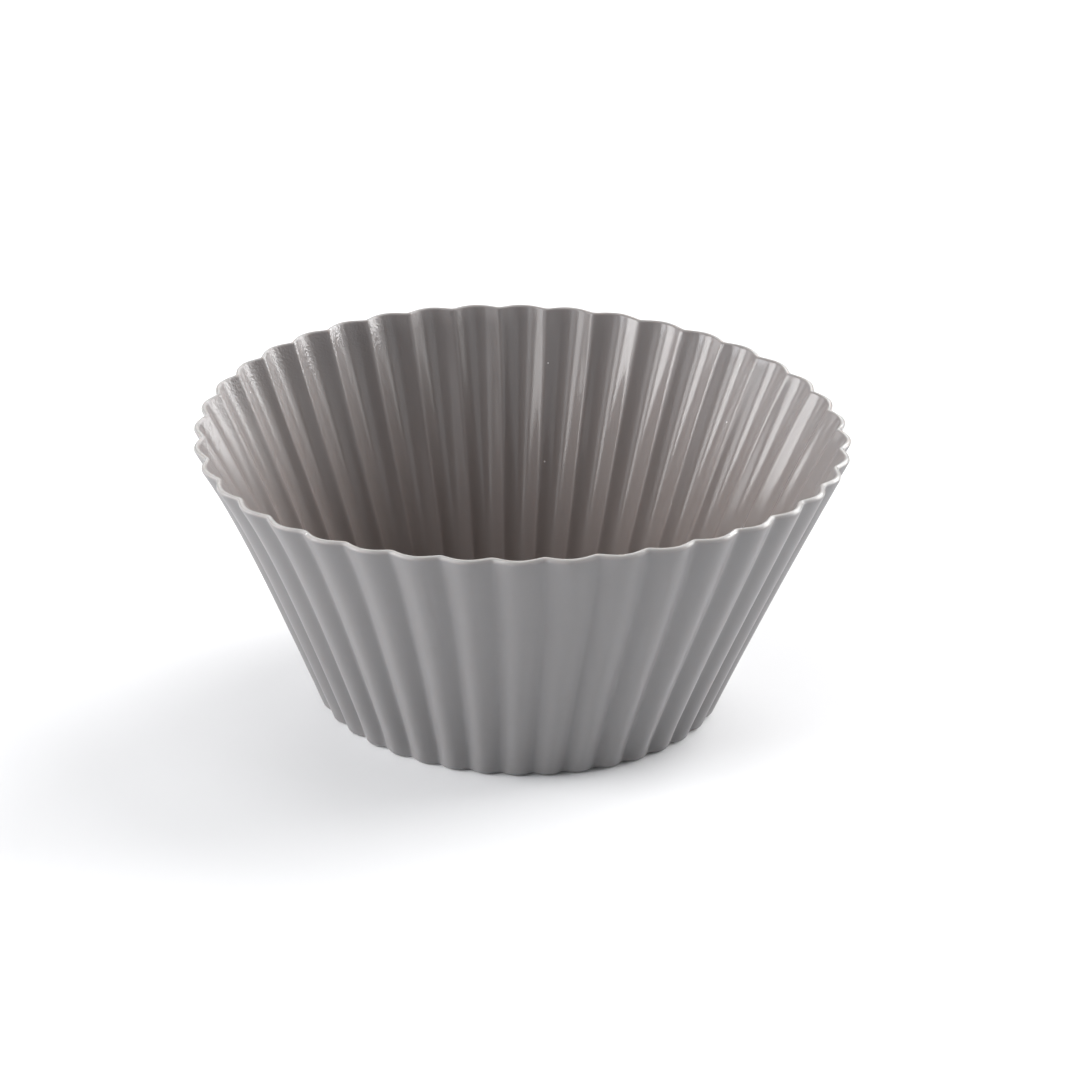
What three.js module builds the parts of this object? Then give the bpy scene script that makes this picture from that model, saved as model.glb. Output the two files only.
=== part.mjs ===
// Fluted baking cup: one thin-walled piece moulded in soft silicone, open at the top.
// Millimetres, +Z up. The origin is the centre of the underside, on the surface the cup stands on.

import * as THREE from 'three';

// Outside sizes, over the crests of the flutes
const rimDiameter = 70;
const baseDiameter = 43.4;
const height = 30.5;

// Thicknesses
const wall = 0.7;
const floorThickness = 0.9;

// Roundings of the profile
const bottomEdgeRadius = 0.9;
const insideCornerRadius = 0.7;

// Flutes: wide round crests outwards, narrow valleys inwards, straight from the base to the rim
const fluteCount = 40;
const fluteDepth = 0.6;
const fluteSharpness = 1.05; // 1 is a plain half-wave between two valleys

// How finely the solid is faceted
const segmentsPerFlute = 6;
const bottomEdgeSteps = 3;
const insideCornerSteps = 2;

const siliconeColour = 0x8e8987;
const siliconeRoughness = 0.45;

// Angle of the wall from vertical. The outer wall leaves the base circle at the floor plane and
// is tangent to the lip, a half circle as wide as the wall is thick.
function flareAngle() {
  const lip = lipCentre();
  const run = lip.x - baseDiameter / 2;
  const rise = lip.y;
  return Math.atan2(run, rise) + Math.asin(wall / 2 / Math.hypot(run, rise));
}

function lipCentre() {
  return new THREE.Vector2(rimDiameter / 2 - wall / 2, height - wall / 2);
}

// The points of a circle at the given angles
function circlePoints(centre, radius, angles) {
  return angles.map((angle) => {
    const x = centre.x + radius * Math.cos(angle);
    const y = centre.y + radius * Math.sin(angle);
    return new THREE.Vector2(x, y);
  });
}

// Equally spaced points along a circular arc, both ends included
function arc(centre, radius, from, to, steps) {
  const angles = [];
  for (let i = 0; i <= steps; i++) {
    angles.push(from + ((to - from) * i) / steps);
  }
  return circlePoints(centre, radius, angles);
}

// The section through a crest: underside, outer wall, lip, inner wall and floor, as
// (radius, height) from the axis out, up, over the lip and back down to the axis.
function crestProfile() {
  const flare = flareAngle();
  const outward = -flare; // direction of the outer wall's normal
  const down = -Math.PI / 2;
  const baseRadius = baseDiameter / 2;

  // The arc's centre lies one radius above the underside and one radius inside the outer wall
  const edgeInset = (bottomEdgeRadius * (1 - Math.sin(flare))) / Math.cos(flare);
  const edgeCentre = new THREE.Vector2(baseRadius - edgeInset, bottomEdgeRadius);

  // The arc's centre lies one radius above the floor and one radius inside the inner wall
  const cornerHeight = floorThickness + insideCornerRadius;
  const cornerShift = cornerHeight * Math.sin(flare) - wall - insideCornerRadius;
  const cornerCentre = new THREE.Vector2(baseRadius + cornerShift / Math.cos(flare), cornerHeight);

  // The lip has a point at its widest and one at its highest, which give the cup its overall size
  const lipAngles = [outward, 0, Math.PI / 4, Math.PI / 2, outward + Math.PI];

  return [
    new THREE.Vector2(0, 0),
    ...arc(edgeCentre, bottomEdgeRadius, down, outward, bottomEdgeSteps),
    ...circlePoints(lipCentre(), wall / 2, lipAngles),
    ...arc(cornerCentre, insideCornerRadius, outward, down, insideCornerSteps),
    new THREE.Vector2(0, floorThickness),
  ];
}

// How far the wall is drawn in from the crest circle at an angle about the axis. Crests lie at
// whole multiples of the flute pitch from +X.
function drawnIn(angle) {
  const wave = Math.abs(Math.cos((angle * fluteCount) / 2));
  return fluteDepth * (1 - wave ** fluteSharpness);
}

// Moves each vertex towards the axis by the flute's depth there. Vertices on the axis stay.
function flute(geometry) {
  const positions = geometry.attributes.position;
  for (let i = 0; i < positions.count; i++) {
    const x = positions.getX(i);
    const y = positions.getY(i);
    const radius = Math.hypot(x, y);
    if (radius > fluteDepth) {
      const scale = 1 - drawnIn(Math.atan2(y, x)) / radius;
      positions.setXY(i, x * scale, y * scale);
    }
  }
  geometry.computeVertexNormals();
  return geometry;
}

function makeCup() {
  const geometry = new THREE.LatheGeometry(crestProfile(), fluteCount * segmentsPerFlute);
  geometry.rotateX(Math.PI / 2); // the lathe turns about Y, the cup stands along Z
  const silicone = new THREE.MeshStandardMaterial({
    color: siliconeColour,
    roughness: siliconeRoughness,
    metalness: 0,
  });
  const mesh = new THREE.Mesh(flute(geometry), silicone);
  mesh.name = 'cup';
  return mesh;
}

const group = new THREE.Group();
group.add(makeCup());

export default group;
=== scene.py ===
# A fluted baking cup in soft silicone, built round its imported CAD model.
# Metres, +Z up, origin at the centre of the underside. Angles are in degrees, turned from +X.
from math import cos, radians, sin

import bpy
import numpy as np
from mathutils import Matrix, Vector


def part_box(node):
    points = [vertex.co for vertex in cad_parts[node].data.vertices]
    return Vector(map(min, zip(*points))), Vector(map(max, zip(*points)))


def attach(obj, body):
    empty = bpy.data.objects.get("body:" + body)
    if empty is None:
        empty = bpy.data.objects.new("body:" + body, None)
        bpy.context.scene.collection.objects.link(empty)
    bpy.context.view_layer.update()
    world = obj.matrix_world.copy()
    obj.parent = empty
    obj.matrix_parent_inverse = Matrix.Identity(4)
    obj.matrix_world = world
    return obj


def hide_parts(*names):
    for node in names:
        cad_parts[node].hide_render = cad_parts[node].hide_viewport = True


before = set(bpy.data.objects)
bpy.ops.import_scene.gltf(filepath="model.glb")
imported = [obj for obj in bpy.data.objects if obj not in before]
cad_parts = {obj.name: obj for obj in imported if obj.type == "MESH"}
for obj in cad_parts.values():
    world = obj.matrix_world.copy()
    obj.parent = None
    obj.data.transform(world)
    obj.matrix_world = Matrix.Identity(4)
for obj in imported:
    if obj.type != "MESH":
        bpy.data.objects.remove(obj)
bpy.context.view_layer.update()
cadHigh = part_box("cup")[1]
print("frame loaded, rim", round(2000 * cadHigh.x, 1), "mm across")

cup = {
    "flutes": 40,
    "fluteDepth": (0.00084, 0.00076),  # at the base and at the rim
    "footFade": 0.35,  # share of the flutes' depth that is missing at the very bottom
    "footHeight": 0.003,  # from here up the flutes have their whole depth
    "floorFade": 4,  # power of the radius with which the flutes die away over the flat floor
    "valleyRounding": 0.2,  # 0 leaves a knife-sharp valley between two flutes
    "baseRadius": 0.02183,  # over the flute crests, where the wall's line meets height 0
    "wallHollow": 0.0002,  # how far the wall bows in, halfway up, from a straight line
    "wall": 0.0007,
    "floor": 0.0009,
    "bottomEdge": 0.0009,  # radius of the rounded outer bottom edge
    "insideCorner": 0.0007,  # radius of the fillet between floor and wall
    "columnsPerFlute": 24,
    "valleyCrowding": 0.6,  # how far the columns gather in the valleys, 0 to under 1
    "wallRows": 20,
    "flatRows": 5,
    "lipRows": 12,
    "edgeRows": 6,
    "cornerRows": 5,
    # A soft rim never stands quite round or level. Each wave is (count round the rim, size, angle
    # of its first high point). The slack is full at the rim and dies away below it.
    "slackOutward": [(2, 0.00041, 29.0), (3, 0.00018, 71.3)],
    "slackUpward": [(0, 0.0001, 0.0), (2, 0.00062, 119.2), (3, 0.00015, 37.9)],
    "slackRound": [(1, 0.0004, 90.0), (2, 0.00025, 148.7)],
    "slackGrowth": 6.0,  # power of the height with which it grows
    "leanRound": [(1, 0.0004, 30.0)],  # full at the base and 0 at the rim
}


# Points of a circle: centre plus radius times (cos, sin) of the angle, from one angle to the other.
def arc(centre, radius, start, end, rows):
    angle = np.linspace(start, end, rows)
    return np.stack([centre[0] + radius * np.cos(angle), centre[1] + radius * np.sin(angle)], 1)


# Straight line of points between two points, both ends left out.
def between(start, end, rows):
    share = np.linspace(0, 1, rows + 2)[1:-1, None]
    return start + (end - start) * share


# The section through a crest as (radius, height) rows: underside, bottom edge, outer wall, lip,
# inner wall, corner, floor. The wall's angle is that of the tangent from the base circle to the
# lip, a half circle as wide as the wall is thick. The second array is 0 outside and 1 inside, and
# goes over smoothly along the outer half of the lip. The third is 1 on top of the lip, and falls
# as a squared half sine to 0 at both its ends.
def section():
    half = cup["wall"] / 2
    lip = np.array([cadHigh.x - half, cadHigh.z - half])
    run = lip[0] - cup["baseRadius"]
    flare = np.arctan2(run, lip[1]) + np.arcsin(half / np.hypot(run, lip[1]))

    edge = cup["bottomEdge"]
    edgeCentre = (cup["baseRadius"] - edge * (1 - np.sin(flare)) / np.cos(flare), edge)
    corner = cup["insideCorner"]
    cornerHeight = cup["floor"] + corner
    cornerShift = (cornerHeight * np.sin(flare) - cup["wall"] - corner) / np.cos(flare)
    cornerCentre = (cup["baseRadius"] + cornerShift, cornerHeight)

    bottomArc = arc(edgeCentre, edge, -np.pi / 2, -flare, cup["edgeRows"])
    lipArc = arc(lip, half, -flare, np.pi - flare, cup["lipRows"])
    cornerArc = arc(cornerCentre, corner, -flare, -np.pi / 2, cup["cornerRows"])
    underside = between(np.zeros(2), bottomArc[0], cup["flatRows"])
    outerWall = between(bottomArc[-1], lipArc[0], cup["wallRows"])
    innerWall = between(lipArc[-1], cornerArc[0], cup["wallRows"])
    top = between(cornerArc[-1], np.array([0, cup["floor"]]), cup["flatRows"])

    outer = np.concatenate([underside, bottomArc, outerWall])
    inner = np.concatenate([innerWall, cornerArc, top])
    across = np.clip(np.linspace(0, 2, len(lipArc)), 0, 1)
    over = across * across * (3 - 2 * across)
    inside = np.concatenate([np.zeros(len(outer)), over, np.ones(len(inner))])
    lipTop = np.zeros(len(inside))
    lipTop[len(outer) : len(outer) + len(lipArc)] = np.sin(np.linspace(0, np.pi, len(lipArc))) ** 2
    return np.concatenate([outer, lipArc, inner]), inside, lipTop


# Column angles. Within a flute the share t runs from one valley to the next, and its phase is
# t - crowding * sin(2 pi t) / (2 pi), which gathers the columns in the valleys.
def columnAngles():
    share = np.arange(cup["columnsPerFlute"]) / cup["columnsPerFlute"]
    phase = share - cup["valleyCrowding"] * np.sin(2 * np.pi * share) / (2 * np.pi)
    phase = (np.arange(cup["flutes"])[:, None] + phase[None, :]).ravel()
    return (phase + 0.5) * 2 * np.pi / cup["flutes"]


# How far the wall is drawn in at an angle and a share of the height: depth * (1 - wave). The wave
# is half a cosine with its ends rounded, sqrt(cos^2 + r^2) - r, scaled to 1 at the crest. The depth
# goes evenly from its value at the base to that at the rim, times 1 - foot fade * v^2, where v goes
# evenly from 1 at the bottom to 0 at the foot height.
def drawnIn(angle, rise):
    atBase, atRim = cup["fluteDepth"]
    depth = atBase + (atRim - atBase) * rise
    foot = np.clip(1 - rise * cadHigh.z / cup["footHeight"], 0, 1)
    depth = depth * (1 - cup["footFade"] * foot**2)
    rounding = cup["valleyRounding"]
    wave = np.sqrt(np.cos(angle * cup["flutes"] / 2) ** 2 + rounding**2) - rounding
    return depth * (1 - wave / (np.sqrt(1 + rounding**2) - rounding))


# Sum of some waves round the axis, each size * cos(count * (angle - high point)).
def ripple(waves, angle):
    return sum(size * np.cos(count * (angle - radians(high))) for count, size, high in waves)


# The grid: radius = section radius - (drawn in + hollow) * reach + slack outward, height = section
# height + slack upward, angle = column angle + (slack round + lean round) / rim radius. With u the
# height as a share of the whole, the hollow goes as 4 u (1 - u), the slack as u to the power of its
# growth and the lean as 1 - u. Reach is 1 on the wall and falls with a power of the radius to 0 at
# the axis.
def cupGrid():
    rows, inside, lipTop = section()
    angle = columnAngles()
    radius, height = rows[:, 0:1], rows[:, 1:2]
    rise = height / cadHigh.z
    hollow = cup["wallHollow"] * 4 * rise * (1 - rise)
    slack = rise ** cup["slackGrowth"]
    fullFrom = cup["baseRadius"] - cup["wall"] - cup["bottomEdge"]
    reach = np.minimum(radius / fullFrom, 1) ** cup["floorFade"]
    away = radius - (drawnIn(angle, rise) + hollow) * reach + slack * ripple(cup["slackOutward"], angle)
    up = height + slack * ripple(cup["slackUpward"], angle)
    aside = slack * ripple(cup["slackRound"], angle) + (1 - rise) * ripple(cup["leanRound"], angle)
    turned = angle + aside / cadHigh.x
    grid = np.stack([away * np.cos(turned), away * np.sin(turned), up], 2)
    fields = [np.repeat(field[:, None], len(angle), 1) for field in (inside, lipTop)]
    return grid, *fields


# Closed skin over a grid that wraps round in its columns: a face between rows i, i + 1 and columns
# j, j + 1, and a fan from each end row to its pole. Values are named fields on the grid, each with
# its value at the two poles.
def closedSkin(name, grid, poles, values):
    rows, columns = grid.shape[:2]
    index = np.arange(rows * columns).reshape(rows, columns)
    after = np.roll(index, -1, 1)
    quads = np.stack([index[:-1], after[:-1], after[1:], index[1:]], 2).reshape(-1, 4)
    pole = np.full(columns, rows * columns)
    firstFan = np.stack([pole, after[0], index[0]], 1)
    lastFan = np.stack([pole + 1, index[-1], after[-1]], 1)
    faces = quads.tolist() + firstFan.tolist() + lastFan.tolist()
    points = np.concatenate([grid.reshape(-1, 3), poles])

    mesh = bpy.data.meshes.new(name)
    mesh.from_pydata(points, [], faces)
    mesh.polygons.foreach_set("use_smooth", np.ones(len(faces), bool))
    for label, (field, ends) in values.items():
        layer = mesh.attributes.new(label, "FLOAT", "POINT")
        layer.data.foreach_set("value", np.append(field.ravel(), ends).astype(np.float32))
    mesh.update()
    piece = bpy.data.objects.new(name, mesh)
    bpy.context.scene.collection.objects.link(piece)
    return piece


# One output of a shader tree. Arithmetic between wires and numbers adds Math nodes.
class Wire:
    def __init__(self, tree, socket=None):
        self.tree = tree
        self.socket = socket

    # Adds any node: its settings first, then a value or a wire for each named socket.
    def node(self, kind, settings, sockets, output=0):
        made = self.tree.nodes.new(kind)
        for name, value in settings.items():
            setattr(made, name, value)
        for name, value in sockets.items():
            if isinstance(value, Wire):
                self.tree.links.new(value.socket, made.inputs[name])
            else:
                made.inputs[name].default_value = value
        return Wire(self.tree, made.outputs[output] if made.outputs else None)

    def math(self, operation, *values):
        return self.node("ShaderNodeMath", {"operation": operation}, dict(enumerate(values)))

    # 1 where this is under a limit, else 0
    def below(self, limit):
        return self.math("LESS_THAN", self, limit)

    # This, or a lowest value where this is under it
    def atLeast(self, lowest):
        return self.math("MAXIMUM", self, lowest)

    def __add__(self, other):
        return self.math("ADD", self, other)

    def __sub__(self, other):
        return self.math("SUBTRACT", self, other)

    def __rsub__(self, other):
        return self.math("SUBTRACT", other, self)

    def __mul__(self, other):
        return self.math("MULTIPLY", self, other)

    __radd__ = __add__
    __rmul__ = __mul__


# A new material and the wire that its nodes are added with.
def newMaterial(name):
    material = bpy.data.materials.new(name)
    material.use_nodes = True
    material.node_tree.nodes.clear()
    return material, Wire(material.node_tree)


silicone = {
    "outside": (0.212, 0.206, 0.208),
    "inside": (0.206, 0.173, 0.159),  # painted shade at the floor of the inside, darker and warmer from light bouncing round the hollow, and fading towards the outside colour
    "shadeLeftAtRim": 0.35,  # how much of the painted inside shade is left at the rim
    "lip": (0.32, 0.312, 0.305),  # painted light: paler, because light gets through the thin edge
    "roughOutside": 0.42,
    "roughInside": 0.16,
    "duller": 0.1,  # how much rougher the inside is at the -X end of the rim than in the middle
    # Each noise is (bumps per metre, detail)
    "toneNoise": (45.0, 2.0),
    "tone": 0.03,  # how much the colour wanders
    "mottleNoise": (160.0, 3.0),
    "mottle": 0.05,  # how much the roughness wanders
    "grainNoise": (5000.0, 2.0),
    "grain": 0.000004,  # depth of the fine grain all over
    "crackleNoise": (3400.0, 1.0),
    "crackle": 0.00007,  # depth of the uneven surface inside, at the -X end of the rim
    "crackleShare": 0.08,  # share of it that is left further down
    "crackleReach": 0.005,  # how far below the rim only that share is left
    "dust": (0.7, 0.68, 0.66),
    "dustCells": 400.0,  # per metre
    "dustSize": 0.00011,  # radius of a speck
    "dustShare": 0.12,  # share of the cells that have a speck
    "ior": 1.41,
    "subsurface": 0.3,
    "subsurfaceReach": (0.0008, 0.0006, 0.0005),
}


# Satin outside and glossier inside. Inward is the point value that is 1 inside, and lip top the one
# that is 1 along the top of the lip.
# Painted shade = inward * (1 - (1 - shade left at the rim) * height as a share of the whole): the
# inside is painted darker and warmer towards its floor, as light bouncing round the hollow makes it.
# Colour = mix(mix(outside, inside, painted shade), lip, lip top) * (1 + tone * (noise - 0.5)),
# with the paler lip top as painted light, and dust where a cell's own number is under the share and
# its middle is near.
# Worn = inward * how far towards -X, from 0 in the middle to 1 at the rim.
# Roughness = outside + (inside - outside) * inward + duller * worn + mottle * (noise - 0.5).
# Height = grain * noise + crackle * noise * worn * (share + (1 - share) * rim), where rim goes from
# 1 at the rim to 0 at the crackle's reach.
def siliconeMaterial():
    look = silicone
    material, wire = newMaterial("silicone")
    place = wire.node("ShaderNodeTexCoord", {}, {}, "Object")
    inward = wire.node("ShaderNodeAttribute", {"attribute_name": "inside"}, {}, "Fac")
    lipTop = wire.node("ShaderNodeAttribute", {"attribute_name": "lip"}, {}, "Fac")

    def noise(label):
        scale, detail = look[label]
        sockets = {"Vector": place, "Scale": scale, "Detail": detail}
        return wire.node("ShaderNodeTexNoise", {}, sockets, "Fac")

    def blend(share, first, second):
        sockets = {"Factor": share, "A": first, "B": second}
        return wire.node("ShaderNodeMix", {"data_type": "RGBA"}, sockets, "Result")

    leftward = wire.node("ShaderNodeSeparateXYZ", {}, {"Vector": place}, "X") * (-1 / cadHigh.x)
    height = wire.node("ShaderNodeSeparateXYZ", {}, {"Vector": place}, "Z")
    # Painted shade: the inside colour, darker and warmer, is strongest at the floor and fades up to the
    # rim.
    paintedShade = inward * (1 - height * ((1 - look["shadeLeftAtRim"]) / cadHigh.z))
    plain = blend(paintedShade, (*look["outside"], 1), (*look["inside"], 1))
    # Painted light: the top of the lip is made paler, for light that gets through the thin edge.
    plain = blend(lipTop, plain, (*look["lip"], 1))
    wander = (noise("toneNoise") - 0.5) * look["tone"] + 1
    scaled = {0: plain, "Scale": wander}
    toned = wire.node("ShaderNodeVectorMath", {"operation": "SCALE"}, scaled, "Vector")

    cell = {"Vector": place, "Scale": look["dustCells"]}
    near = wire.node("ShaderNodeTexVoronoi", {}, cell, "Distance")
    number = wire.node("ShaderNodeTexVoronoi", {}, cell, "Color")
    number = wire.node("ShaderNodeSeparateColor", {}, {"Color": number}, "Red")
    speck = near.below(look["dustSize"] * look["dustCells"]) * number.below(look["dustShare"])
    colour = blend(speck, toned, (*look["dust"], 1))

    worn = inward * leftward.atLeast(0.0)
    rough = look["roughOutside"] + inward * (look["roughInside"] - look["roughOutside"])
    rough = rough + worn * look["duller"] + (noise("mottleNoise") - 0.5) * look["mottle"]

    rim = (height - (cadHigh.z - look["crackleReach"])) * (1 / look["crackleReach"])
    uneven = worn * (look["crackleShare"] + rim.atLeast(0.0) * (1 - look["crackleShare"]))
    crackle = noise("crackleNoise") * uneven * look["crackle"]
    grain = noise("grainNoise") * look["grain"]
    bump = wire.node("ShaderNodeBump", {}, {"Distance": 1.0, "Height": grain + crackle}, "Normal")

    shader = wire.node(
        "ShaderNodeBsdfPrincipled",
        {},
        {
            "Base Color": colour,
            "Roughness": rough,
            "Normal": bump,
            "IOR": look["ior"],
            "Subsurface Weight": look["subsurface"],
            "Subsurface Radius": look["subsurfaceReach"],
            "Subsurface Scale": 1.0,
        },
        "BSDF",
    )
    wire.node("ShaderNodeOutputMaterial", {}, {"Surface": shader})
    return material


studio = {
    "floorRadius": 0.9,
    "floorPoints": 128,
    "floorColour": (0.76, 0.761, 0.768),
    "air": (1.0, 1.0, 1.0),
    "airStrength": 1.0,
    "white": (1.0, 1.0, 1.0),
    "cool": (0.95, 0.97, 1.0),
    "lampDistance": 1.4,
    # name, azimuth, height angle, (width, height), watts, colour
    "lamps": [
        ("keyLow", 22.0, 11.0, (0.7, 0.45), 14.4, "white"),
        ("keyHigh", 22.0, 30.0, (0.7, 0.45), 10.2, "white"),
        ("keyBack", 54.0, 30.0, (0.6, 0.45), 9.8, "white"),
        ("keyTop", 40.0, 52.0, (0.8, 0.6), 5.0, "white"),
        ("back", 95.0, 30.0, (0.8, 0.45), 5.2, "white"),
        ("right", 355.0, 16.0, (0.5, 0.5), 2.8, "white"),
        ("leftLow", 184.0, 11.0, (0.6, 0.45), 9.0, "white"),
        ("leftHigh", 185.0, 30.0, (0.6, 0.5), 11.0, "white"),
        ("backLeft", 155.0, 20.0, (0.4, 0.6), 2.0, "white"),
        ("frontLeft", 215.0, 18.0, (0.4, 0.6), 4.8, "white"),
        ("frontLeftHigh", 215.0, 40.0, (0.4, 0.4), 5.6, "cool"),
        ("front", 245.0, 28.0, (0.4, 0.5), 1.3, "cool"),
        ("frontRight", 312.0, 16.0, (0.8, 0.5), 1.6, "cool"),
        ("top", 0.0, 89.0, (0.8, 0.8), 3.8, "white"),
    ],
}

camera = {
    "turned": -0.54,  # about Z, from looking along +Y
    "above": 24.84,
    "rolled": 1.38,
    "distance": 0.56,
    "aim": (0.00153, 0.0, 0.018),
    "lens": 174.1,
    "sensor": 36.0,  # lens and sensor width in millimetres
}


# Unit vector at an azimuth and a height angle: (cos h cos a, cos h sin a, sin h).
def towards(azimuth, above):
    across = cos(radians(above))
    return Vector((across * cos(radians(azimuth)), across * sin(radians(azimuth)), sin(radians(above))))


# Flat disc on the floor plane: one face whose corners are radius * (cos, sin) of even angles.
def makeFloor():
    index = np.arange(studio["floorPoints"])
    angle = index * 2 * np.pi / studio["floorPoints"]
    ring = np.stack([np.cos(angle), np.sin(angle), 0 * angle], 1) * studio["floorRadius"]
    mesh = bpy.data.meshes.new("studio_floor")
    mesh.from_pydata(ring, [], [index.tolist()])
    floor = bpy.data.objects.new("studio_floor", mesh)
    bpy.context.scene.collection.objects.link(floor)
    material, wire = newMaterial("floor")
    shader = wire.node("ShaderNodeBsdfDiffuse", {}, {"Color": (*studio["floorColour"], 1)})
    wire.node("ShaderNodeOutputMaterial", {}, {"Surface": shader})
    mesh.materials.append(material)


# Soft lamps that face the middle of the cup and that the camera doesn't see.
def makeLamps():
    middle = Vector((0, 0, cadHigh.z / 2))
    for name, azimuth, above, size, watts, colour in studio["lamps"]:
        light = bpy.data.lights.new(name, "AREA")
        light.shape = "RECTANGLE"
        light.size, light.size_y = size
        light.energy = watts
        light.color = studio[colour]
        lamp = bpy.data.objects.new(name, light)
        away = towards(azimuth, above)
        lamp.location = middle + away * studio["lampDistance"]
        lamp.rotation_euler = away.to_track_quat("Z", "Y").to_euler()
        lamp.visible_camera = False
        bpy.context.scene.collection.objects.link(lamp)


# Even white round the floor, which the camera sees and which lights nothing.
def makeAir():
    world = bpy.data.worlds.new("air")
    bpy.context.scene.world = world
    world.use_nodes = True
    background = world.node_tree.nodes["Background"]
    background.inputs["Color"].default_value = (*studio["air"], 1)
    background.inputs["Strength"].default_value = studio["airStrength"]
    world.cycles_visibility.diffuse = False
    world.cycles_visibility.glossy = False


# The camera looks at its aim point from in front and above, rolled about its own view line.
def makeCamera():
    lens = bpy.data.cameras.new("camera")
    lens.lens = camera["lens"]
    lens.sensor_width = camera["sensor"]
    holder = bpy.data.objects.new("camera", lens)
    bpy.context.scene.collection.objects.link(holder)
    away = towards(camera["turned"] - 90, camera["above"])
    position = Vector(camera["aim"]) + away * camera["distance"]
    roll = Matrix.Rotation(radians(camera["rolled"]), 3, "Z")
    turn = away.to_track_quat("Z", "Y").to_matrix() @ roll
    holder.matrix_world = Matrix.LocRotScale(position, turn, None)
    bpy.context.scene.camera = holder


makeCamera()
grid, inside, lipTop = cupGrid()
poles = [(0, 0, 0), (0, 0, cup["floor"])]
fields = {"inside": (inside, [0, 1]), "lip": (lipTop, [0, 0])}
cupSkin = closedSkin("cup_skin", grid, poles, fields)
cupSkin.data.materials.append(siliconeMaterial())
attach(cupSkin, "root")
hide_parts("cup")
print("cup made,", len(cupSkin.data.polygons), "faces")

makeFloor()
makeLamps()
makeAir()
bpy.context.scene.view_settings.view_transform = "Standard"
print("studio made,", len(studio["lamps"]), "lamps")
